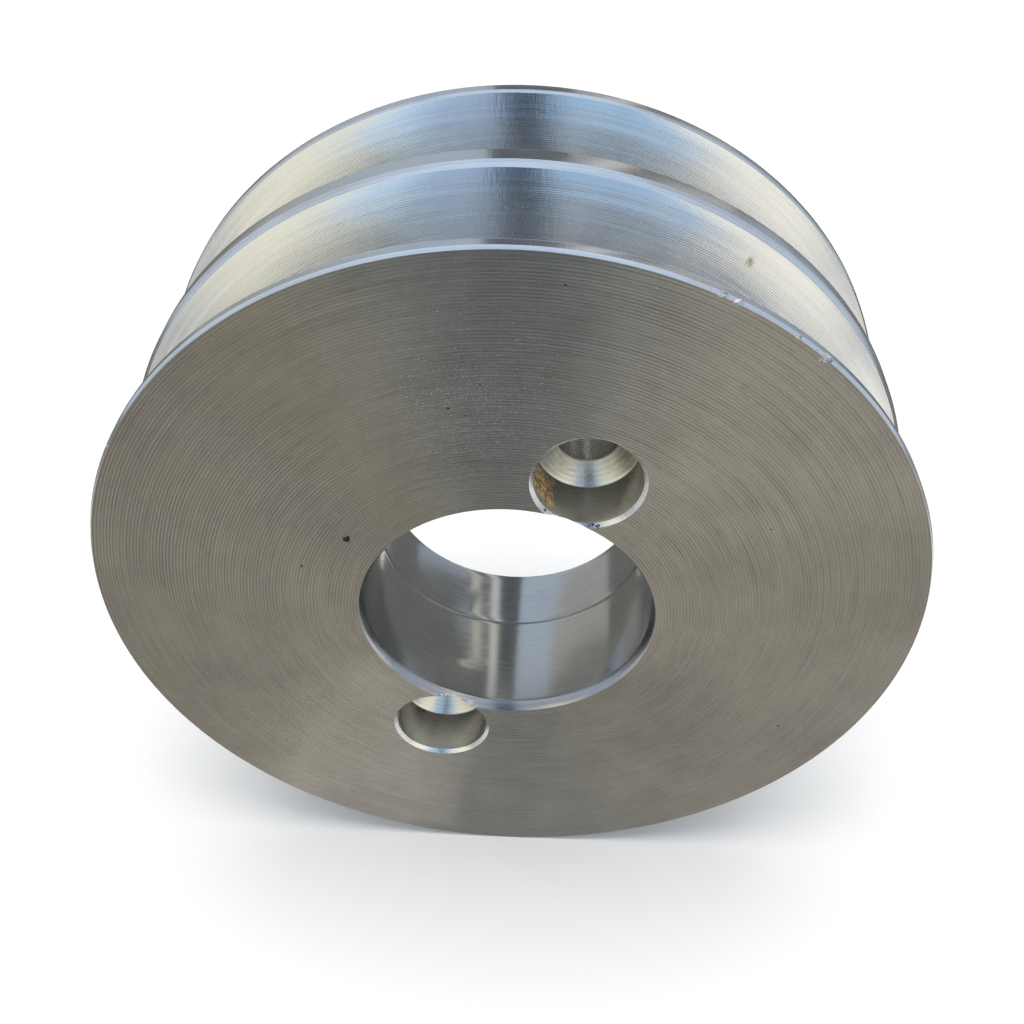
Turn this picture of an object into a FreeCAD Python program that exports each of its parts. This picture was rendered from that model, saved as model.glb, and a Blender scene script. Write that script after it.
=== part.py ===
import FreeCAD, Part
import math
import os

# Two-groove V-belt pulley, bored from solid aluminium, with a pressed-in bore bush.
# Millimetres. The pulley's axis is Y and its centre is the origin. The front face looks
# along -Y. Depths are measured from the front face, towards the back.

# Rim
outside_d = 100.0
width = 38.0
front_edge_radial = 0.25
front_edge_axial = 0.46
rear_edge_chamfer = 0.3

# V-grooves, both alike, for a belt 17 mm wide
groove_count = 2
groove_pitch = 18.6
first_groove_depth = 9.9
groove_top_width = 15.0
groove_depth = 14.5
groove_angle = 34.0
groove_root_fillet = 1.0
# Each groove's broken corners, front groove first: (axial, radial)
groove_corners = [(0.9, 0.45), (0.4, 0.2)]

# Rear recess, which leaves a solid web behind the front face
web_thickness = 25.0
recess_d = 63.0
recess_edge_chamfer = 0.5
recess_fillet = 1.0

# Bore, and the bush pressed into it from the recess
bore_d = 35.0
bore_mouth_radial = 0.6
bore_mouth_axial = 1.2
bush_length = 10.0
bush_wall = 1.5
bush_edge_chamfer = 0.3
bush_rear_chamfer = 0.5
seat_edge_chamfer = 0.3

# Fixing holes: counterbore, 90 degree seat and clearance hole, opposite each other.
# Only a thin web of metal is left between a counterbore and the bore.
hole_count = 2
hole_web = 0.3
first_hole_angle = 22.1
counterbore_d = 12.0
counterbore_depth = 6.5
counterbore_mouth_chamfer = 0.45
seat_angle = 90.0
clearance_d = 7.5
clearance_rear_chamfer = 0.4

# Cutting tools start this far outside the face that they cut
tool_run_out = 2.0

rim_r = outside_d / 2
recess_r = recess_d / 2
bore_r = bore_d / 2
bush_outer_r = bore_r + bush_wall
bush_front = web_thickness - bush_length
hole_circle_r = bore_r + hole_web + counterbore_d / 2


def axial(depth):
    """Y of a depth below the front face."""
    return depth - width / 2


def unit(start, end):
    """Direction from one point to another."""
    return (end - start).normalize()


def corner_arc(before, corner, after, radius):
    """Arc of the given radius that rounds a corner between two straight edges."""
    back = unit(corner, before)
    forward = unit(corner, after)
    half_angle = back.getAngle(forward) / 2
    reach = radius / math.tan(half_angle)
    centre_distance = radius / math.sin(half_angle)
    middle_line = (back + forward).normalize()
    start = corner + back * reach
    end = corner + forward * reach
    middle = corner + middle_line * (centre_distance - radius)
    return Part.Arc(start, middle, end), start, end


def profile_wire(corners):
    """Closed outline in the XY plane. Each corner is (radius, depth, fillet)."""
    points = [FreeCAD.Vector(radius, axial(depth), 0) for radius, depth, fillet in corners]
    count = len(points)
    starts = list(points)
    ends = list(points)
    arcs = [None] * count
    for index, (radius, depth, fillet) in enumerate(corners):
        if fillet > 0:
            before = points[index - 1]
            after = points[(index + 1) % count]
            arcs[index], starts[index], ends[index] = corner_arc(before, points[index], after, fillet)
    edges = []
    for index in range(count):
        if arcs[index]:
            edges.append(arcs[index].toShape())
        edges.append(Part.LineSegment(ends[index], starts[(index + 1) % count]).toShape())
    return Part.Wire(edges)


def turned(corners):
    """Solid of revolution about the pulley's axis."""
    face = Part.Face(profile_wire(corners))
    return face.revolve(FreeCAD.Vector(0, 0, 0), FreeCAD.Vector(0, 1, 0), 360)


def groove_corners_of(index):
    """Outline of one V-groove, from its front corner to its rear corner."""
    centre = first_groove_depth + index * groove_pitch
    corner_axial, corner_radial = groove_corners[min(index, len(groove_corners) - 1)]
    slope = math.tan(math.radians(groove_angle / 2))
    top_half = groove_top_width / 2
    flank_half = top_half - corner_radial * slope
    root_half = top_half - groove_depth * slope
    root_r = rim_r - groove_depth
    flank_r = rim_r - corner_radial
    return [
        (rim_r, centre - top_half - corner_axial, 0),
        (flank_r, centre - flank_half, 0),
        (root_r, centre - root_half, groove_root_fillet),
        (root_r, centre + root_half, groove_root_fillet),
        (flank_r, centre + flank_half, 0),
        (rim_r, centre + top_half + corner_axial, 0),
    ]


def body_blank():
    """The turned body, before the fixing holes are drilled."""
    outline = [
        (bore_r + bore_mouth_radial, 0, 0),
        (rim_r - front_edge_radial, 0, 0),
        (rim_r, front_edge_axial, 0),
    ]
    for index in range(groove_count):
        outline += groove_corners_of(index)
    outline += [
        (rim_r, width - rear_edge_chamfer, 0),
        (rim_r - rear_edge_chamfer, width, 0),
        (recess_r + recess_edge_chamfer, width, 0),
        (recess_r, width - recess_edge_chamfer, 0),
        (recess_r, web_thickness, recess_fillet),
        (bush_outer_r + seat_edge_chamfer, web_thickness, 0),
        (bush_outer_r, web_thickness - seat_edge_chamfer, 0),
        (bush_outer_r, bush_front, 0),
        (bore_r, bush_front, 0),
        (bore_r, bore_mouth_axial, 0),
    ]
    return turned(outline)


def hole_tool(angle):
    """Everything that one fixing hole removes: mouth, counterbore, seat and clearance hole."""
    along = FreeCAD.Vector(0, 1, 0)
    turn = math.radians(angle)
    x = hole_circle_r * math.sin(turn)
    z = hole_circle_r * math.cos(turn)
    head_r = counterbore_d / 2
    clear_r = clearance_d / 2
    seat_depth = (head_r - clear_r) / math.tan(math.radians(seat_angle / 2))

    def at(depth):
        return FreeCAD.Vector(x, axial(depth), z)

    mouth_r = head_r + counterbore_mouth_chamfer
    mouth = Part.makeCone(mouth_r, head_r, counterbore_mouth_chamfer, at(0), along)
    lead = Part.makeCylinder(mouth_r, tool_run_out, at(-tool_run_out), along)
    head = Part.makeCylinder(head_r, counterbore_depth, at(0), along)
    seat = Part.makeCone(head_r, clear_r, seat_depth, at(counterbore_depth), along)
    drill_length = web_thickness - counterbore_depth + tool_run_out
    drill = Part.makeCylinder(clear_r, drill_length, at(counterbore_depth), along)
    exit_r = clear_r + clearance_rear_chamfer
    exit_depth = web_thickness - clearance_rear_chamfer
    exit_cone = Part.makeCone(clear_r, exit_r, clearance_rear_chamfer, at(exit_depth), along)
    return mouth.fuse([lead, head, seat, drill, exit_cone]).removeSplitter()


def pulley_body():
    body = body_blank()
    for index in range(hole_count):
        angle = first_hole_angle + index * 360 / hole_count
        body = body.cut(hole_tool(angle))
    return body.removeSplitter()


def bore_bush():
    return turned([
        (bore_r + bush_edge_chamfer, bush_front, 0),
        (bush_outer_r - bush_edge_chamfer, bush_front, 0),
        (bush_outer_r, bush_front + bush_edge_chamfer, 0),
        (bush_outer_r, web_thickness - bush_edge_chamfer, 0),
        (bush_outer_r - bush_edge_chamfer, web_thickness, 0),
        (bore_r + bush_rear_chamfer, web_thickness, 0),
        (bore_r, web_thickness - bush_rear_chamfer, 0),
        (bore_r, bush_front + bush_edge_chamfer, 0),
    ])


def main():
    os.makedirs("parts", exist_ok=True)
    nodes = {
        "pulley_body": pulley_body(),
        "bore_bush": bore_bush(),
    }
    for name, shape in nodes.items():
        solid = shape.Solids[0]
        solid.exportStep(os.path.join("parts", name + ".step"))
        print(name, len(shape.Solids), "solid", shape.isValid(), "volume", round(solid.Volume, 1))


main()
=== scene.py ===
import math
import random

import bmesh
import bpy
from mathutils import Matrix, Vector, noise


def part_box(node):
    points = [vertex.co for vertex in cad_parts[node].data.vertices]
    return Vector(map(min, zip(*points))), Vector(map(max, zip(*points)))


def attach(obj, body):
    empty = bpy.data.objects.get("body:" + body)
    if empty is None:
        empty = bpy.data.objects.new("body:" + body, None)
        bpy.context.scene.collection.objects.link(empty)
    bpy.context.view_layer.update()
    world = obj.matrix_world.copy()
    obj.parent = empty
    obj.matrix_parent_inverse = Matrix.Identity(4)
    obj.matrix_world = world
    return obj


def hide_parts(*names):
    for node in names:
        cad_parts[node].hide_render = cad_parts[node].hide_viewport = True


# A two-groove V-belt pulley, turned from aluminium. Its axis is Y, its front face looks
# along -Y and its centre is the origin. Metres, from sizes given in millimetres.

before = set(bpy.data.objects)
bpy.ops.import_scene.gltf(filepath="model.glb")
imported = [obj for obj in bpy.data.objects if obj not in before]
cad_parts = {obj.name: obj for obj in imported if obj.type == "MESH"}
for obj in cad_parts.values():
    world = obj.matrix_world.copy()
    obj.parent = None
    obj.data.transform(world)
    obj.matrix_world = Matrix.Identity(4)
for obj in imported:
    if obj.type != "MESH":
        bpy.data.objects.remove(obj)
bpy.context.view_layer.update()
scene = bpy.context.scene

MM = 0.001
BODY = "root"

# ---------------------------------------------------------------- sizes, in millimetres

body_low, body_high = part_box("pulley_body")
bush_low, bush_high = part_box("bore_bush")
RIM_R = body_high.x / MM
WIDTH = (body_high.y - body_low.y) / MM
FRONT = body_low.y / MM
BUSH_OUTER_R = bush_high.x / MM
BUSH_FRONT = bush_low.y / MM - FRONT
WEB = bush_high.y / MM - FRONT

BORE_R = 17.5
BORE_MOUTH = (0.6, 1.2)
FACE_EDGE = (0.25, 0.46)
SEAT_REAR_CHAMFER = 0.3
REAR_EDGE = 0.3
RECESS_R = 31.5
RECESS_EDGE = 0.5
RECESS_FILLET = 1.0
GROOVE_DEPTH = 14.5
GROOVE_TOP_HALF = 7.5
GROOVE_SLOPE = math.tan(math.radians(17.0))
GROOVE_ROOT_FILLET = 1.0
GROOVE_CENTRES = (9.9, 28.5)
GROOVE_CORNERS = ((0.9, 0.45), (0.4, 0.2))

HOLE_CIRCLE_R = 23.8
HOLE_ANGLES = (22.1, 202.1)
HEAD_R = 6.0
HEAD_DEPTH = 6.5
HEAD_MOUTH = 0.45
CLEAR_R = 3.75
CLEAR_CHAMFER = 0.4
# Chatter rings on the counterbore's conical seat
SEAT_RINGS = 6
SEAT_RING_HEIGHT = 0.05

BUSH_CHAMFER = 0.3
BUSH_REAR_MOUTH = 0.5

SEGMENTS = 480
HOLE_SEGMENTS = 96
EDGE_ROUND = 0.06
# Longest edge of the mesh along each outline
BODY_RUN = 1.2
BORE_RUN = 0.4
HOLE_RUN = 0.7
BUSH_RUN = 0.8
# How far a cutting tool reaches past the metal
TOOL_REACH = 2.0
# Edges that turn by more than this stay sharp when shaded
SHARP_ANGLE = 24
CRUST_SHARP_ANGLE = 50
# How near a place counts as on a surface
NEAR = 0.02


def on_circle(radius, angle):
    """X and Z of a point on a circle about the axis, clockwise from the top, seen from ahead."""
    turn = math.radians(angle)
    return radius * math.sin(turn), radius * math.cos(turn)


def arc_points(before, corner, after, radius, steps):
    """Points of a curve that rounds a corner of an outline, nearly an arc of this radius."""
    back = (before - corner).normalized()
    forward = (after - corner).normalized()
    half = back.angle(forward) / 2
    room = min((before - corner).length, (after - corner).length)
    reach = min(radius / math.tan(half), 0.45 * room)
    start = corner + back * reach
    end = corner + forward * reach
    points = []
    for step in range(steps + 1):
        t = step / steps
        points.append(start.lerp(corner, t).lerp(corner.lerp(end, t), t))
    return points


def outline(corners, longest, closed=True):
    """Outline points from (radius, depth, rounding) corners, with no run over `longest` mm."""
    spots = [Vector((r, d)) for r, d, rounding in corners]
    count = len(spots)
    rounded = []
    for index, (r, d, rounding) in enumerate(corners):
        at_end = not closed and index in (0, count - 1)
        if at_end or rounding <= 0:
            rounded.append([spots[index]])
            continue
        steps = 6 if rounding > 0.2 else 2
        before, after = spots[index - 1], spots[(index + 1) % count]
        rounded.append(arc_points(before, spots[index], after, rounding, steps))
    points = []
    for index, piece in enumerate(rounded):
        points += piece
        if not closed and index == count - 1:
            break
        start, end = piece[-1], rounded[(index + 1) % count][0]
        parts = max(1, math.ceil((end - start).length / longest))
        points += [start.lerp(end, k / parts) for k in range(1, parts)]
    return points


def lathe(name, points, segments, centre=(0.0, 0.0), closed=True):
    """Mesh of revolution about an axis along Y, through `centre` in X and Z."""
    mesh = bpy.data.meshes.new(name)
    build = bmesh.new()
    rings = []
    for k in range(segments):
        turn = 2 * math.pi * k / segments
        sin, cos = math.sin(turn), math.cos(turn)
        places = [(centre[0] + p.x * sin, FRONT + p.y, centre[1] + p.x * cos) for p in points]
        rings.append([build.verts.new((x * MM, y * MM, z * MM)) for x, y, z in places])
    last = len(points) if closed else len(points) - 1
    for k in range(segments):
        here, there = rings[k], rings[(k + 1) % segments]
        for i in range(last):
            j = (i + 1) % len(points)
            build.faces.new((here[i], there[i], there[j], here[j]))
    if not closed:
        build.faces.new([ring[0] for ring in rings])
        build.faces.new([ring[-1] for ring in rings])
    bmesh.ops.recalc_face_normals(build, faces=build.faces)
    build.to_mesh(mesh)
    build.free()
    thing = bpy.data.objects.new(name, mesh)
    scene.collection.objects.link(thing)
    return thing


def groove_outline(centre, corner):
    """Corners of one V-groove in the outline of the body."""
    corner_axial, corner_radial = corner
    flank_half = GROOVE_TOP_HALF - corner_radial * GROOVE_SLOPE
    root_half = GROOVE_TOP_HALF - GROOVE_DEPTH * GROOVE_SLOPE
    edge = GROOVE_TOP_HALF + corner_axial
    root_r = RIM_R - GROOVE_DEPTH
    flank_r = RIM_R - corner_radial
    return [
        (RIM_R, centre - edge, EDGE_ROUND),
        (flank_r, centre - flank_half, EDGE_ROUND),
        (root_r, centre - root_half, GROOVE_ROOT_FILLET),
        (root_r, centre + root_half, GROOVE_ROOT_FILLET),
        (flank_r, centre + flank_half, EDGE_ROUND),
        (RIM_R, centre + edge, EDGE_ROUND),
    ]


def body_outline():
    """Outline of the turned body, front face first."""
    corners = [
        (BORE_R + BORE_MOUTH[0], 0, EDGE_ROUND),
        (RIM_R - FACE_EDGE[0], 0, EDGE_ROUND),
        (RIM_R, FACE_EDGE[1], EDGE_ROUND),
    ]
    for centre, corner in zip(GROOVE_CENTRES, GROOVE_CORNERS):
        corners += groove_outline(centre, corner)
    corners += [
        (RIM_R, WIDTH - REAR_EDGE, EDGE_ROUND),
        (RIM_R - REAR_EDGE, WIDTH, EDGE_ROUND),
        (RECESS_R + RECESS_EDGE, WIDTH, EDGE_ROUND),
        (RECESS_R, WIDTH - RECESS_EDGE, EDGE_ROUND),
        (RECESS_R, WEB, RECESS_FILLET),
        (BUSH_OUTER_R + SEAT_REAR_CHAMFER, WEB, EDGE_ROUND),
        (BUSH_OUTER_R, WEB - SEAT_REAR_CHAMFER, EDGE_ROUND),
        (BUSH_OUTER_R, BUSH_FRONT, 0),
        (BORE_R, BUSH_FRONT, EDGE_ROUND),
    ]
    rows = math.ceil((BUSH_FRONT - BORE_MOUTH[1]) / BORE_RUN)
    for row in range(1, rows):
        corners.append((BORE_R, BUSH_FRONT + (BORE_MOUTH[1] - BUSH_FRONT) * row / rows, 0))
    corners.append((BORE_R, BORE_MOUTH[1], EDGE_ROUND))
    return outline(corners, BODY_RUN)


def hole_outline():
    """Outline of what one fixing hole removes, from in front of the face to behind the web."""
    seat_depth = HEAD_DEPTH + HEAD_R - CLEAR_R
    corners = [
        (HEAD_R + HEAD_MOUTH, -TOOL_REACH, 0),
        (HEAD_R + HEAD_MOUTH, 0.0, 0),
        (HEAD_R, HEAD_MOUTH, EDGE_ROUND),
        (HEAD_R, HEAD_DEPTH, 0.5),
    ]
    for step in range(1, 2 * SEAT_RINGS):
        share = step / (2 * SEAT_RINGS)
        ridge = SEAT_RING_HEIGHT if step % 2 else 0.0
        radius = HEAD_R + (CLEAR_R - HEAD_R) * share - ridge
        corners.append((radius, HEAD_DEPTH + (seat_depth - HEAD_DEPTH) * share, 0))
    corners += [
        (CLEAR_R, seat_depth, EDGE_ROUND),
        (CLEAR_R, WEB - CLEAR_CHAMFER, EDGE_ROUND),
        (CLEAR_R + CLEAR_CHAMFER, WEB, 0),
        (CLEAR_R + CLEAR_CHAMFER, WEB + TOOL_REACH, 0),
    ]
    return outline(corners, HOLE_RUN, closed=False)


def bush_outline():
    """Outline of the pressed-in bush."""
    corners = [
        (BORE_R + BUSH_CHAMFER, BUSH_FRONT, EDGE_ROUND),
        (BUSH_OUTER_R - BUSH_CHAMFER, BUSH_FRONT, EDGE_ROUND),
        (BUSH_OUTER_R, BUSH_FRONT + BUSH_CHAMFER, EDGE_ROUND),
        (BUSH_OUTER_R, WEB - BUSH_CHAMFER, EDGE_ROUND),
        (BUSH_OUTER_R - BUSH_CHAMFER, WEB, EDGE_ROUND),
        (BORE_R + BUSH_REAR_MOUTH, WEB, EDGE_ROUND),
        (BORE_R, WEB - BUSH_REAR_MOUTH, EDGE_ROUND),
        (BORE_R, BUSH_FRONT + BUSH_CHAMFER, EDGE_ROUND),
    ]
    return outline(corners, BUSH_RUN)


# ---------------------------------------------------------------- marks left by use and handling

# Pits in the front face: radius, angle, half sizes across, into and up the face
FACE_PITS = (
    (22.3, -55.1, (0.46, 0.30, 0.48)),
    (25.5, -71.4, (0.16, 0.10, 0.20)),
    (32.3, -10.5, (0.22, 0.12, 0.12)),
    (46.6, 6.9, (0.16, 0.10, 0.10)),
    (34.9, -4.2, (0.12, 0.08, 0.10)),
    (33.7, 61.0, (0.14, 0.08, 0.10)),
    (41.0, 118.0, (0.16, 0.09, 0.16)),
    (37.5, 236.0, (0.14, 0.09, 0.12)),
)
# Nicks in the front rim: angle, half sizes across, into and up
RIM_NICKS = (
    (24.2, (0.80, 0.55, 0.38)),
    (26.3, (1.10, 0.50, 0.32)),
    (22.6, (0.30, 0.25, 0.20)),
    (29.0, (0.40, 0.25, 0.18)),
    (31.8, (0.25, 0.20, 0.18)),
    (34.6, (0.45, 0.40, 0.30)),
    (37.2, (0.40, 0.30, 0.22)),
    (38.9, (1.30, 0.80, 0.52)),
    (40.6, (0.30, 0.30, 0.20)),
    (128.0, (0.50, 0.30, 0.25)),
    (247.0, (0.45, 0.35, 0.25)),
    (284.0, (0.25, 0.30, 0.40)),
    (291.0, (0.20, 0.25, 0.30)),
    (300.5, (0.30, 0.30, 0.30)),
)
# Chips along the web's edge, between a counterbore and the bore: how many for each hole,
# then the range of angle, of distance past the counterbore's wall, of depth and of half size
WEB_CHIPS = (11, 5)
CHIP_TURN = (-34, 38)
CHIP_OUT = (0.1, 0.5)
CHIP_DEPTH = (0.1, 0.6)
CHIP_SIZE = (0.12, 0.34)
CHIP_SEED = 11
# The sprung web: half its angle about the axis, and how far it stands into the bore
WEB_HALF_ANGLE = 9.0
WEB_PUSH = 0.14


def lump(name, place, size, seed):
    """Small irregular solid that knocks a pit or a nick out of the metal."""
    mesh = bpy.data.meshes.new(name)
    build = bmesh.new()
    bmesh.ops.create_icosphere(build, subdivisions=2, radius=1.0)
    for vert in build.verts:
        rough = 1 + 0.45 * noise.noise(vert.co * 1.7 + Vector((seed, 0, 0)))
        vert.co = Vector([(vert.co[k] * size[k] * rough + place[k]) * MM for k in range(3)])
    build.to_mesh(mesh)
    build.free()
    thing = bpy.data.objects.new(name, mesh)
    scene.collection.objects.link(thing)
    return thing


def cut(thing, tools):
    """Take the tools out of a mesh, for good."""
    group = bpy.data.collections.new("tools")
    for tool in tools:
        group.objects.link(tool)
    step = thing.modifiers.new("cut", "BOOLEAN")
    step.operation = "DIFFERENCE"
    step.solver = "EXACT"
    step.operand_type = "COLLECTION"
    step.collection = group
    graph = bpy.context.evaluated_depsgraph_get()
    mesh = bpy.data.meshes.new_from_object(thing.evaluated_get(graph))
    thing.modifiers.clear()
    thing.data = mesh
    for tool in tools:
        bpy.data.objects.remove(tool)
    bpy.data.collections.remove(group)


def smooth(thing, sharp_angle):
    """Shade smooth, with hard edges only where the surface really turns."""
    for face in thing.data.polygons:
        face.use_smooth = True
    thing.data.set_sharp_from_angle(angle=math.radians(sharp_angle))


def soft_step(low, high, value):
    """0 below low, 1 above high, smooth between."""
    t = min(1.0, max(0.0, (value - low) / (high - low)))
    return t * t * (3 - 2 * t)


def push_web(thing):
    """The thin web beside each counterbore has sprung a little into the bore."""
    for vert in thing.data.vertices:
        x, z = vert.co.x / MM, vert.co.z / MM
        radius = math.hypot(x, z)
        depth = vert.co.y / MM - FRONT
        if abs(radius - BORE_R) > NEAR or depth > HEAD_DEPTH + 2:
            continue
        angle = math.degrees(math.atan2(x, z))
        for hole in HOLE_ANGLES:
            off = abs((angle - hole + 180) % 360 - 180)
            across = math.exp(-((off / WEB_HALF_ANGLE) ** 4))
            along = 1 - soft_step(HEAD_DEPTH - 0.9, HEAD_DEPTH + 0.7, depth)
            share = 1 - WEB_PUSH * across * along / radius
            vert.co.x *= share
            vert.co.z *= share


def hole_tools():
    """What the two fixing holes remove."""
    centres = [on_circle(HOLE_CIRCLE_R, angle) for angle in HOLE_ANGLES]
    return [lathe("hole_tool", hole_outline(), HOLE_SEGMENTS, centre, False) for centre in centres]


def pit_tools():
    """What the pits in the face and the nicks in the rim remove."""
    tools = []
    for index, (radius, angle, size) in enumerate(FACE_PITS):
        x, z = on_circle(radius, angle)
        tools.append(lump(f"pit_{index}", (x, FRONT, z), size, index * 3.7))
    for index, (angle, size) in enumerate(RIM_NICKS):
        x, z = on_circle(RIM_R + 0.05, angle)
        tools.append(lump(f"nick_{index}", (x, FRONT + 0.1, z), size, 40 + index * 2.3))
    return tools


def chip_tools():
    """What the chips along the webs' edges remove."""
    tools = []
    draw = random.Random(CHIP_SEED)
    for hole_angle, count in zip(HOLE_ANGLES, WEB_CHIPS):
        hole_x, hole_z = on_circle(HOLE_CIRCLE_R, hole_angle)
        for index in range(count):
            out = HEAD_R + draw.uniform(*CHIP_OUT)
            x, z = on_circle(out, hole_angle + 180 + draw.uniform(*CHIP_TURN))
            place = (hole_x + x, FRONT + draw.uniform(*CHIP_DEPTH), hole_z + z)
            size = [draw.uniform(*CHIP_SIZE) for k in range(3)]
            tools.append(lump(f"chip_{index}", place, size, draw.uniform(0, 90)))
    return tools


def make_body():
    """The pulley's body, with its holes and the marks of use cut out."""
    body = lathe("turned_body", body_outline(), SEGMENTS)
    push_web(body)
    cut(body, hole_tools() + pit_tools() + chip_tools())
    smooth(body, SHARP_ANGLE)
    return body


def make_bush():
    """The bush pressed into the bore from behind."""
    bush = lathe("pressed_bush", bush_outline(), SEGMENTS)
    smooth(bush, SHARP_ANGLE)
    return bush


# ---------------------------------------------------------------- materials

def rgb(red, green, blue):
    return (red, green, blue, 1.0)


class Surface:
    """Nodes of one material, in millimetres about an axis along Y."""

    def __init__(self, name, centre=(0.0, 0.0)):
        self.material = bpy.data.materials.new(name)
        self.material.use_nodes = True
        self.tree = self.material.node_tree
        self.tree.nodes.clear()
        self.shader = self.node("ShaderNodeBsdfPrincipled")
        out = self.node("ShaderNodeOutputMaterial")
        self.tree.links.new(self.shader.outputs["BSDF"], out.inputs["Surface"])
        metres = self.node("ShaderNodeTexCoord").outputs["Object"]
        scaled = self.vector("SCALE", metres, scale=1 / MM)
        self.place = self.vector("SUBTRACT", scaled, (centre[0], FRONT, centre[1]))
        flat = self.vector("MULTIPLY", self.place, (1, 0, 1))
        self.radius = self.vector("LENGTH", flat, out="Value")
        self.ray = self.vector("NORMALIZE", flat)
        parts = self.node("ShaderNodeSeparateXYZ")
        self.put(parts.inputs[0], self.place)
        self.depth = parts.outputs["Y"]
        self.tangent = self.vector("CROSS_PRODUCT", self.ray, (0, 1, 0))

    def node(self, kind, **settings):
        made = self.tree.nodes.new(kind)
        for key, value in settings.items():
            setattr(made, key, value)
        return made

    def put(self, socket, value):
        if isinstance(value, bpy.types.NodeSocket):
            self.tree.links.new(value, socket)
        else:
            socket.default_value = value

    def math(self, operation, *values):
        made = self.node("ShaderNodeMath", operation=operation)
        for socket, value in zip(made.inputs, values):
            self.put(socket, value)
        return made.outputs[0]

    def vector(self, operation, *values, scale=None, out="Vector"):
        made = self.node("ShaderNodeVectorMath", operation=operation)
        for socket, value in zip(made.inputs, values):
            self.put(socket, value)
        if scale is not None:
            self.put(made.inputs["Scale"], scale)
        return made.outputs[out]

    def noise(self, vector, scale, detail=2.0, roughness=0.5):
        made = self.node("ShaderNodeTexNoise")
        self.put(made.inputs["Vector"], vector)
        self.put(made.inputs["Scale"], scale)
        self.put(made.inputs["Detail"], detail)
        self.put(made.inputs["Roughness"], roughness)
        return made.outputs[0]

    def remap(self, value, low, high, to_low=0.0, to_high=1.0):
        made = self.node("ShaderNodeMapRange")
        for socket, number in zip(made.inputs, (value, low, high, to_low, to_high)):
            self.put(socket, number)
        return made.outputs[0]

    def mix(self, factor, first, second, blend="MIX"):
        made = self.node("ShaderNodeMix", data_type="RGBA", blend_type=blend)
        self.put(made.inputs["Factor"], factor)
        for socket, value in ((made.inputs[6], first), (made.inputs[7], second)):
            self.put(socket, value)
        return made.outputs[2]

    def around(self, along, turns, per_mm):
        """Coordinates with `turns` units a radian round the axis and `per_mm` along the cut."""
        lift = self.node("ShaderNodeCombineXYZ")
        self.put(lift.inputs["Y"], self.math("MULTIPLY", along, per_mm))
        return self.vector("ADD", self.vector("SCALE", self.ray, scale=turns), lift.outputs[0])

    def bump(self, height, distance):
        made = self.node("ShaderNodeBump")
        made.inputs["Distance"].default_value = distance
        self.put(made.inputs["Height"], height)
        return made.outputs["Normal"]

    def grey(self, value):
        made = self.node("ShaderNodeCombineColor")
        for socket in made.inputs:
            self.put(socket, value)
        return made.outputs[0]

    def spot(self, place, size):
        """1 inside a round patch about a place, 0 outside, with a ragged edge."""
        away = self.vector("LENGTH", self.vector("SUBTRACT", self.place, place), out="Value")
        tear = self.math("MULTIPLY", self.noise(self.place, 3.2, 5.0, 0.8), size * 3.2)
        return self.remap(self.math("ADD", away, tear), size * 2.9, size * 1.9)


# Share of a turn from the tangent to the way that highlights stretch, so that they run outwards
HIGHLIGHT_TURN = 0.25


def turned_metal(name, light, dark, rough, anisotropic, pitch, cut_depth, hatch, valley_shade,
                 along="radius", centre=(0, 0), mark=None):
    """Machined metal: rings at the tool's feed, fine drag lines, a faint cross hatch and stains.

    `pitch` is the feed and `cut_depth` the height of its rings, both in mm. `valley_shade` is the
    share of the colour that is left in the rings' valleys, which is painted shade, and `mark` adds
    what else is on the surface.
    """
    s = Surface(name, centre)
    run = s.radius if along == "radius" else s.depth
    wobble = s.noise(s.around(run, 1.4, 0.35), 1.0, 1.0)
    feed = s.math("ADD", s.math("DIVIDE", run, pitch), s.math("MULTIPLY", wobble, 0.7))
    rings = s.math("SINE", s.math("MULTIPLY", feed, 2 * math.pi))
    uneven = s.remap(s.noise(s.around(run, 2.6, 1.9), 1.0, 4.0, 0.6), 0.35, 0.62, 0.15, 1.0)
    rings = s.math("MULTIPLY", rings, uneven)
    drag = s.noise(s.around(run, 3.0, 2.4), 1.0, 4.0, 0.7)
    cross = s.noise(s.around(run, 130.0, 0.5), 1.0, 2.0)
    height = s.math("ADD", s.math("MULTIPLY", rings, 0.5), s.math("MULTIPLY", drag, 1.3))
    height = s.math("ADD", height, s.math("MULTIPLY", cross, hatch))
    stain = s.noise(s.place, 0.11, 4.0, 0.6)
    tone = s.math("ADD", s.math("MULTIPLY", stain, 0.5), s.math("MULTIPLY", drag, 0.5))
    colour = s.mix(s.remap(tone, 0.36, 0.64), dark, light)
    # Darker colour in the rings' valleys: painted shade.
    colour = s.mix(1.0, colour, s.grey(s.remap(rings, -0.9, 0.5, valley_shade, 1.0)), "MULTIPLY")
    roughness = s.remap(s.math("ADD", drag, stain), 0.7, 1.3, *rough)
    if mark:
        colour, roughness = mark(s, colour, roughness)
    s.put(s.shader.inputs["Base Color"], colour)
    s.put(s.shader.inputs["Roughness"], roughness)
    s.put(s.shader.inputs["Normal"], s.bump(height, cut_depth * MM))
    s.put(s.shader.inputs["Tangent"], s.tangent)
    s.shader.inputs["Metallic"].default_value = 1.0
    s.shader.inputs["Anisotropic"].default_value = anisotropic
    s.shader.inputs["Anisotropic Rotation"].default_value = HIGHLIGHT_TURN
    return s.material


def burrs_with_painted_glints(s, colour, roughness, scale, level, thickly):
    """Tiny burrs as near-white, rough specks, which are painted glints, most of them where `thickly`
    is 1.
    """
    glint_dots = s.noise(s.place, scale, 1.0)
    glint_dots = s.remap(s.math("ADD", glint_dots, s.math("MULTIPLY", thickly, 0.08)), level, level + 0.03)
    glint_dots = s.math("MULTIPLY", glint_dots, 0.85)
    # Near-white specks: real burrs with painted glints.
    colour = s.mix(glint_dots, colour, rgb(0.92, 0.91, 0.88))
    return colour, s.math("MAXIMUM", roughness, s.math("MULTIPLY", glint_dots, 0.7))


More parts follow.
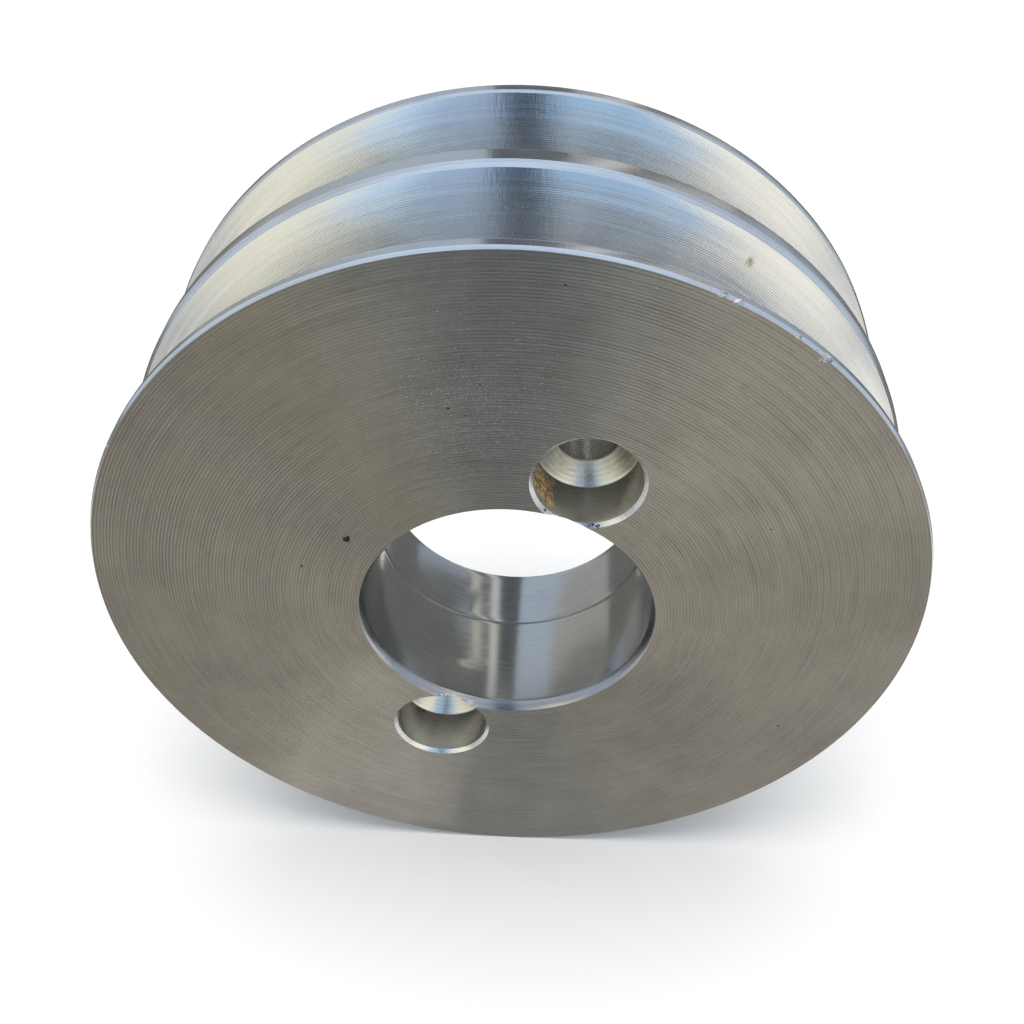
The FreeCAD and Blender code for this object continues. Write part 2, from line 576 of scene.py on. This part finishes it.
def face_marks(s, colour, roughness):
    """Burrs with painted glints on the upper left of the face, and dark smudges."""
    smudge = s.remap(s.noise(s.place, 0.35, 5.0, 0.7), 0.60, 0.72, 0.0, 0.35)
    colour = s.mix(smudge, colour, rgb(0.16, 0.145, 0.12))
    return burrs_with_painted_glints(s, colour, roughness, 6.5, 0.73, s.spot((-4.0, 0.0, 32.0), 11.0))


# Bright lines round the flanks: radius, half width and strength
WORN_LINES = ((47.5, 0.35, 0.5), (48.35, 0.15, 0.35), (45.2, 0.2, 0.25))


def flank_marks(s, colour, roughness):
    """Lines worn by a belt, a patch of burrs with painted glints at the top and a spot of dirt to
    its right.
    """
    for radius, width, share in WORN_LINES:
        away = s.math("ABSOLUTE", s.math("SUBTRACT", s.radius, radius))
        line = s.remap(away, width, width * 0.3, 0.0, share)
        broken = s.remap(s.noise(s.around(s.radius, 2.0, 0.1), 1.0), 0.4, 0.6)
        line = s.math("MULTIPLY", line, broken)
        colour = s.mix(line, colour, rgb(0.88, 0.89, 0.90))
    dirt = s.math("MULTIPLY", s.spot((25.4, 16.6, 39.9), 0.5), 0.75)
    colour = s.mix(dirt, colour, rgb(0.25, 0.18, 0.09))
    return burrs_with_painted_glints(s, colour, roughness, 5.5, 0.74, s.spot((-1.6, 15.8, 44.8), 3.4))


def pit_inside_material():
    """Near-black colour for the inside of the pits."""
    s = Surface("dark_pit_inside")
    grain = s.noise(s.place, 4.0, 4.0, 0.7)
    colour = s.mix(s.remap(grain, 0.35, 0.65), rgb(0.012, 0.010, 0.008), rgb(0.05, 0.038, 0.024))
    s.put(s.shader.inputs["Base Color"], colour)
    s.put(s.shader.inputs["Roughness"], s.remap(grain, 0.3, 0.7, 0.5, 0.8))
    s.put(s.shader.inputs["Normal"], s.bump(grain, 0.1 * MM))
    return s.material


def residue_material():
    """Dried brown oil and swarf."""
    s = Surface("dried_residue")
    grain = s.noise(s.place, 1.6, 6.0, 0.7)
    fine = s.noise(s.place, 5.0, 3.0, 0.6)
    colour = s.mix(s.remap(grain, 0.38, 0.62), rgb(0.26, 0.11, 0.03), rgb(0.72, 0.54, 0.30))
    colour = s.mix(s.remap(fine, 0.6, 0.7), colour, rgb(0.05, 0.03, 0.015))
    s.put(s.shader.inputs["Base Color"], colour)
    s.put(s.shader.inputs["Roughness"], s.remap(grain, 0.3, 0.7, 0.35, 0.8))
    s.put(s.shader.inputs["Normal"], s.bump(fine, 0.1 * MM))
    return s.material


FACE, FLANK, BORE, EDGE, UPPER_HOLE, LOWER_HOLE, BACK, PIT_INSIDE, MOUTH = range(9)


def drilled_metal(name, hole_angle):
    """The wall of a fixing hole, cut by a drill, so its rings lie about the hole's own axis."""
    return turned_metal(name, rgb(0.80, 0.785, 0.735), rgb(0.60, 0.585, 0.535), rough=(0.24, 0.36),
                        anisotropic=0.5, pitch=0.45, cut_depth=0.006, hatch=0.2, valley_shade=0.88,
                        along="depth", centre=on_circle(HOLE_CIRCLE_R, hole_angle))


def body_materials():
    """Materials of the body, in the order of the numbers above."""
    return [
        # The face's colours are kept far darker than the rest of this aluminium. This is painted
        # shade, standing in for the dim ground that the face mirrors.
        turned_metal("faced_aluminium_painted_shade", rgb(0.345, 0.322, 0.276), rgb(0.235, 0.218, 0.187),
                     rough=(0.33, 0.45), anisotropic=0.94, pitch=0.38,
                     cut_depth=0.084, hatch=0.08, valley_shade=0.80, mark=face_marks),
        turned_metal("flank_aluminium", rgb(0.76, 0.77, 0.78), rgb(0.62, 0.63, 0.64),
                     rough=(0.16, 0.25), anisotropic=0.88, pitch=0.22,
                     cut_depth=0.006, hatch=0.8, valley_shade=0.88, mark=flank_marks),
        turned_metal("bored_aluminium", rgb(0.66, 0.66, 0.65), rgb(0.54, 0.54, 0.53),
                     rough=(0.13, 0.23), anisotropic=0.6, pitch=0.16,
                     cut_depth=0.0015, hatch=0.05, valley_shade=0.95, along="depth"),
        turned_metal("edge_aluminium", rgb(0.80, 0.81, 0.82), rgb(0.64, 0.65, 0.66),
                     rough=(0.20, 0.32), anisotropic=0.4, pitch=0.25,
                     cut_depth=0.006, hatch=0.5, valley_shade=0.9),
        drilled_metal("upper_hole_aluminium", HOLE_ANGLES[0]),
        drilled_metal("lower_hole_aluminium", HOLE_ANGLES[1]),
        turned_metal("back_aluminium", rgb(0.60, 0.595, 0.57), rgb(0.48, 0.475, 0.45),
                     rough=(0.44, 0.56), anisotropic=0.80, pitch=0.42,
                     cut_depth=0.030, hatch=0.15, valley_shade=0.65),
        pit_inside_material(),
        turned_metal("mouth_aluminium", rgb(0.56, 0.575, 0.60), rgb(0.42, 0.43, 0.46),
                     rough=(0.17, 0.28), anisotropic=0.5, pitch=0.30,
                     cut_depth=0.004, hatch=0.3, valley_shade=0.9),
    ]


def region(centre, normal):
    """Which material a face of the body takes, from where it is."""
    x, z = centre.x / MM, centre.z / MM
    radius = math.hypot(x, z)
    depth = centre.y / MM - FRONT
    for index, angle in ((UPPER_HOLE, HOLE_ANGLES[0]), (LOWER_HOLE, HOLE_ANGLES[1])):
        hole_x, hole_z = on_circle(HOLE_CIRCLE_R, angle)
        off = math.hypot(x - hole_x, z - hole_z)
        inside = 0.002 < depth < WEB - 0.002 and radius > BORE_R + 0.05
        in_mouth = HEAD_R - NEAR < off < HEAD_R + HEAD_MOUTH + 0.01
        if inside and depth < HEAD_MOUTH + NEAR and in_mouth:
            return EDGE
        if inside and off < HEAD_R + NEAR:
            return index
    for pit_radius, angle, size in FACE_PITS:
        pit_x, pit_z = on_circle(pit_radius, angle)
        # The inside of a pit takes the near-black colour.
        if NEAR < depth < 1 and math.hypot(x - pit_x, z - pit_z) < 2 * max(size):
            return PIT_INSIDE
    if depth < NEAR and radius < RIM_R - FACE_EDGE[0] - NEAR:
        return FACE
    if depth < BORE_MOUTH[1] and radius < BORE_R + BORE_MOUTH[0] + NEAR:
        return MOUTH
    if radius < BORE_R + NEAR:
        return BORE
    if depth > WIDTH - REAR_EDGE - NEAR or radius < RIM_R - GROOVE_DEPTH - 0.1:
        return BACK
    if radius > RIM_R - max(c[1] for c in GROOVE_CORNERS) and 0.05 < abs(normal.y) < 0.95:
        return EDGE
    return FLANK


BUSH_WALL, BUSH_EDGE = range(2)


def bush_materials():
    """Materials of the bush, in the order of the numbers above."""
    return [
        turned_metal("bored_bush_steel", rgb(0.64, 0.65, 0.66), rgb(0.52, 0.53, 0.54),
                     rough=(0.12, 0.21), anisotropic=0.6, pitch=0.16,
                     cut_depth=0.0015, hatch=0.05, valley_shade=0.95, along="depth"),
        turned_metal("bush_edge_steel", rgb(0.30, 0.31, 0.33), rgb(0.20, 0.21, 0.23),
                     rough=(0.34, 0.46), anisotropic=0.3, pitch=0.2,
                     cut_depth=0.004, hatch=0.05, valley_shade=0.95),
    ]


def bush_region(centre):
    """Which material a face of the bush takes, from where it is."""
    radius = math.hypot(centre.x, centre.z) / MM
    depth = centre.y / MM - FRONT
    at_front = depth < BUSH_FRONT + BUSH_CHAMFER - 0.01
    return BUSH_EDGE if at_front and radius > BORE_R + 0.01 else BUSH_WALL


# The crust: its middle and half its width round the hole, its nearest and deepest edge, its grid
RESIDUE_MIDDLE = 239.0
RESIDUE_HALF_TURN = 25.0
RESIDUE_DEPTHS = (0.8, 6.45)
RESIDUE_GRID = (44, 36)


def make_residue():
    """Crust of dried residue on the wall of the upper counterbore."""
    hole_x, hole_z = on_circle(HOLE_CIRCLE_R, HOLE_ANGLES[0])
    across, down = RESIDUE_GRID
    low, high = RESIDUE_DEPTHS
    mesh = bpy.data.meshes.new("hole_residue")
    build = bmesh.new()

    def vert(i, j, back):
        """Corner of the grid, on the lumpy front or on the back, which is sunk in the wall."""
        turn = RESIDUE_MIDDLE + RESIDUE_HALF_TURN * (2 * i / across - 1)
        depth = low + (high - low) * j / down
        u, v = 2 * i / across - 1, 2 * j / down - 1
        grain = noise.noise(Vector((turn * 0.09, depth * 0.8, 3.1)))
        fine = noise.noise(Vector((turn * 0.35, depth * 2.6, 8.4)))
        edge = 1 - max(abs(u), abs(v)) ** 3
        thick = 0.42 * edge + 0.45 * grain + 0.22 * fine - 0.08
        radius = HEAD_R + 0.12 if back else HEAD_R + 0.04 - max(-0.02, thick * edge)
        x, z = on_circle(radius, turn)
        return build.verts.new(((hole_x + x) * MM, (FRONT + depth) * MM, (hole_z + z) * MM))

    front = [[vert(i, j, False) for j in range(down + 1)] for i in range(across + 1)]
    rear = [[vert(i, j, True) for j in range(down + 1)] for i in range(across + 1)]
    for grid in (front, rear):
        for i in range(across):
            for j in range(down):
                build.faces.new((grid[i][j], grid[i + 1][j], grid[i + 1][j + 1], grid[i][j + 1]))
    rim = [(i, 0) for i in range(across)] + [(across, j) for j in range(down)]
    rim += [(i, down) for i in range(across, 0, -1)] + [(0, j) for j in range(down, 0, -1)]
    for k, (i, j) in enumerate(rim):
        m, n = rim[(k + 1) % len(rim)]
        build.faces.new((front[i][j], front[m][n], rear[m][n], rear[i][j]))
    bmesh.ops.recalc_face_normals(build, faces=build.faces)
    build.to_mesh(mesh)
    build.free()
    crust = bpy.data.objects.new("hole_residue", mesh)
    scene.collection.objects.link(crust)
    crust.data.materials.append(residue_material())
    smooth(crust, CRUST_SHARP_ANGLE)
    return crust


body = make_body()
for material in body_materials():
    body.data.materials.append(material)
for face in body.data.polygons:
    face.material_index = region(face.center, face.normal)
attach(body, BODY)
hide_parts("pulley_body")

bush = make_bush()
for material in bush_materials():
    bush.data.materials.append(material)
for face in bush.data.polygons:
    face.material_index = bush_region(face.center)
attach(bush, BODY)
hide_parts("bore_bush")

crust = make_residue()
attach(crust, BODY)


# ---------------------------------------------------------------- stage, lights and camera

FLOOR_RADIUS = 3.0


def make_floor():
    """Round sheet of pale paper under the pulley."""
    mesh = bpy.data.meshes.new("floor")
    build = bmesh.new()
    bmesh.ops.create_circle(build, cap_ends=True, segments=128, radius=FLOOR_RADIUS)
    build.to_mesh(mesh)
    build.free()
    floor = bpy.data.objects.new("floor", mesh)
    floor.location.z = body_low.z
    scene.collection.objects.link(floor)
    paper = bpy.data.materials.new("pale_paper")
    paper.use_nodes = True
    shader = paper.node_tree.nodes["Principled BSDF"]
    shader.inputs["Base Color"].default_value = rgb(0.93, 0.925, 0.915)
    shader.inputs["Roughness"].default_value = 0.9
    shader.inputs["Specular IOR Level"].default_value = 0.1
    mesh.materials.append(paper)


# Soft boxes and flags, which the metal mirrors as the real one mirrors sky, walls and ground:
# azimuths and elevations in degrees, distance in metres, colour
CARDS = {
    "sky_left_low": ((-18, -5), (-12, 50), 0.46, (0.46, 0.63, 0.88)),
    "sky_left_wide": ((-27, -18), (-14, 50), 0.46, (0.72, 1.0, 1.3)),
    "cream_left": ((-54, -27), (-16, 50), 0.46, (1.2, 1.16, 0.95)),
    "sky_side_left": ((-118, -76), (-5, 55), 0.46, (0.62, 0.72, 0.86)),
    "flag_front": ((-5, 2), (-12, 50), 0.46, (0.05, 0.08, 0.13)),
    "sky_right": ((2, 26), (-14, 50), 0.46, (0.50, 0.74, 1.02)),
    "cream_right": ((26, 52), (-16, 50), 0.46, (1.35, 1.3, 1.15)),
    "sky_side_right": ((76, 118), (-5, 55), 0.46, (0.62, 0.72, 0.86)),
    "flag_camera": ((-14, 14), (45, 76), 0.17, (0.08, 0.11, 0.18)),
    "flag_back": ((172, 188), (15, 65), 0.46, (0.12, 0.13, 0.14)),
    "sky_back": ((188, 216), (15, 62), 0.46, (0.52, 0.60, 0.70)),
    "grey_back": ((216, 232), (-12, 62), 0.46, (0.46, 0.46, 0.43)),
    "cream_back": ((232, 242), (-12, 50), 0.46, (0.55, 0.54, 0.48)),
    "strip_back": ((163, 169), (15, 62), 0.44, (0.85, 0.85, 0.82)),
    "strip_back_low": ((150, 154), (10, 60), 0.44, (1.0, 0.98, 0.88)),
    "shade_back": ((148, 172), (-12, 62), 0.50, (0.20, 0.205, 0.205)),
    "sky_back_right": ((118, 148), (-12, 62), 0.50, (0.42, 0.48, 0.56)),
}
# The same, but level, just above the floor or overhead: lowest and highest X, then Y, then
# height and colour
LEVEL_CARDS = {
    # The sheets over the floor paint pools of light and patches of shade on the evenly lit floor,
    # seen only in the metal's reflections.
    "floor_front": (-0.50, 0.50, -0.42, -0.040, -0.0488, (0.86, 0.845, 0.81)),
    "floor_near_left": (-0.036, -0.008, -0.06, -0.0215, -0.0484, (1.42, 1.40, 1.37)),
    "floor_dim_left": (-0.50, -0.037, -0.42, -0.0215, -0.0484, (0.72, 0.705, 0.675)),
    "floor_bright_right": (0.026, 0.20, -0.42, -0.104, -0.0484, (1.38, 1.36, 1.30)),
    # Painted shadow of the photographer on the floor in front, seen only in the metal.
    "floor_painted_shadow_front": (-0.072, 0.024, -0.42, -0.092, -0.0480, (0.02, 0.02, 0.02)),
    # Painted shade on the floor behind, to each side, seen only in the metal.
    "floor_shade_sheet_left": (-1.10, -0.015, 0.035, 1.60, -0.0488, (0.19, 0.19, 0.18)),
    "floor_shade_sheet_right": (0.015, 1.10, 0.035, 1.60, -0.0488, (0.19, 0.19, 0.18)),
    "sky_top": (-0.40, 0.40, -0.10, 0.40, 0.50, (0.72, 0.88, 1.10)),
}
# The same, upright and just inside the recess's mouth: lowest and highest X, then Z, and colour.
# These dark sheets are painted shade in the recess, seen only in the metal's reflections.
RECESS_CARDS = {
    "recess_right_low": (0.004, 0.0119, -0.033, 0.001, (0.19, 0.19, 0.185)),
    "recess_right": (0.012, 0.0308, -0.033, 0.033, (0.18, 0.185, 0.18)),
    "recess_left": (-0.0308, -0.021, -0.033, 0.033, (0.25, 0.25, 0.225)),
}
RECESS_CARD_DEPTH = WIDTH - 0.3
RECESS_CARD_R = RECESS_R - 0.6
RECESS_CARD_COLUMNS = 16


def glow_card(name, mesh, colour):
    """Object of a mesh that glows in one colour and shows only in metal's reflections."""
    thing = bpy.data.objects.new(name, mesh)
    glow = bpy.data.materials.new(name)
    glow.use_nodes = True
    nodes = glow.node_tree.nodes
    nodes.clear()
    emit = nodes.new("ShaderNodeEmission")
    emit.inputs["Color"].default_value = rgb(*colour)
    out = nodes.new("ShaderNodeOutputMaterial")
    glow.node_tree.links.new(emit.outputs[0], out.inputs["Surface"])
    mesh.materials.append(glow)
    thing.visible_camera = False
    thing.visible_diffuse = False
    thing.visible_shadow = False
    scene.collection.objects.link(thing)
    return thing


def flat_card(name, width, height, colour, place, facing):
    """Rectangular card, square to `facing`."""
    mesh = bpy.data.meshes.new(name)
    build = bmesh.new()
    bmesh.ops.create_grid(build, x_segments=1, y_segments=1, size=0.5)
    bmesh.ops.scale(build, vec=(width, height, 1), verts=build.verts)
    build.to_mesh(mesh)
    build.free()
    thing = glow_card(name, mesh, colour)
    thing.location = place
    thing.rotation_euler = facing.to_track_quat("Z", "Y").to_euler()


def outward(turn, rise):
    """Unit vector that points `turn` to the right of straight ahead and `rise` above level."""
    return Vector((math.sin(turn) * math.cos(rise),
                   -math.cos(turn) * math.cos(rise),
                   math.sin(rise)))


def card(name, azimuths, elevations, distance, colour):
    """Card that faces the pulley: a soft box or, where it is dark, a flag.

    Azimuths run to the right of straight ahead, in degrees, and more than 90 is behind the pulley.
    """
    turn = math.radians(sum(azimuths) / 2)
    rise = math.radians(sum(elevations) / 2)
    width = 2 * distance * math.tan(math.radians(azimuths[1] - azimuths[0]) / 2) * math.cos(rise)
    height = 2 * distance * math.tan(math.radians(elevations[1] - elevations[0]) / 2)
    out = outward(turn, rise)
    flat_card(name, width, height, colour, out * distance, out)


def level_card(name, x_low, x_high, y_low, y_high, z, colour):
    """Level card, given by its edges and its height."""
    place = Vector(((x_low + x_high) / 2, (y_low + y_high) / 2, z))
    flat_card(name, x_high - x_low, y_high - y_low, colour, place, Vector((0, 0, 1)))


def recess_card(name, x_low, x_high, z_low, z_high, colour):
    """Upright card square to Y, given by its edges and trimmed to the recess's circle."""
    mesh = bpy.data.meshes.new(name)
    build = bmesh.new()
    pairs = []
    for k in range(RECESS_CARD_COLUMNS + 1):
        x = x_low + (x_high - x_low) * k / RECESS_CARD_COLUMNS
        reach = math.sqrt(max(0.0, (RECESS_CARD_R * MM) ** 2 - x * x))
        ends = (max(z_low, -reach), min(z_high, reach))
        pairs.append([build.verts.new((x, (FRONT + RECESS_CARD_DEPTH) * MM, z)) for z in ends])
    for here, there in zip(pairs, pairs[1:]):
        build.faces.new((here[0], there[0], there[1], here[1]))
    build.to_mesh(mesh)
    build.free()
    glow_card(name, mesh, colour)


def soft_light(name, place, size, power, colour):
    """Area light that lights the set without showing in the metal."""
    data = bpy.data.lights.new(name, "AREA")
    data.shape = "RECTANGLE"
    data.size, data.size_y = size
    data.energy = power
    data.color = colour
    lamp = bpy.data.objects.new(name, data)
    lamp.location = place
    lamp.rotation_euler = Vector(place).to_track_quat("Z", "Y").to_euler()
    lamp.visible_camera = False
    lamp.visible_glossy = False
    scene.collection.objects.link(lamp)


make_floor()
for name, settings in CARDS.items():
    card(name, *settings)
for name, settings in LEVEL_CARDS.items():
    level_card(name, *settings)
for name, settings in RECESS_CARDS.items():
    recess_card(name, *settings)
soft_light("top", place=(0.0, 0.0, 0.95), size=(0.9, 0.7), power=9.0, colour=(1.0, 0.99, 0.97))

world = bpy.data.worlds.new("studio")
world.use_nodes = True
sky = world.node_tree.nodes["Background"]
sky.inputs["Color"].default_value = rgb(0.88, 0.93, 1.0)
sky.inputs["Strength"].default_value = 0.6
scene.world = world

# The camera stands close to the front face and looks down on it.
AZIMUTH = math.radians(2.646)
ELEVATION = math.radians(44.099)
DISTANCE = 132.9 * MM
AIM_RIGHT = 0.67 * MM
AIM_UP = 8.66 * MM
LENS = 38.19
SENSOR_WIDTH = 36.0
SHIFT_UP = 0.0358
NEAREST = 0.005


def place_camera():
    """The photo's camera, with its picture shifted up a little."""
    data = bpy.data.cameras.new("camera")
    data.lens = LENS
    data.sensor_width = SENSOR_WIDTH
    data.shift_y = SHIFT_UP
    data.clip_start = NEAREST
    back = outward(AZIMUTH, ELEVATION)
    right = Vector((0, 0, 1)).cross(back).normalized()
    up = back.cross(right)
    camera = bpy.data.objects.new("camera", data)
    aim = Vector((0, FRONT * MM, 0)) + right * AIM_RIGHT + up * AIM_UP
    camera.location = aim + back * DISTANCE
    camera.rotation_euler = back.to_track_quat("Z", "Y").to_euler()
    scene.collection.objects.link(camera)
    scene.camera = camera


place_camera()
scene.view_settings.view_transform = "Standard"
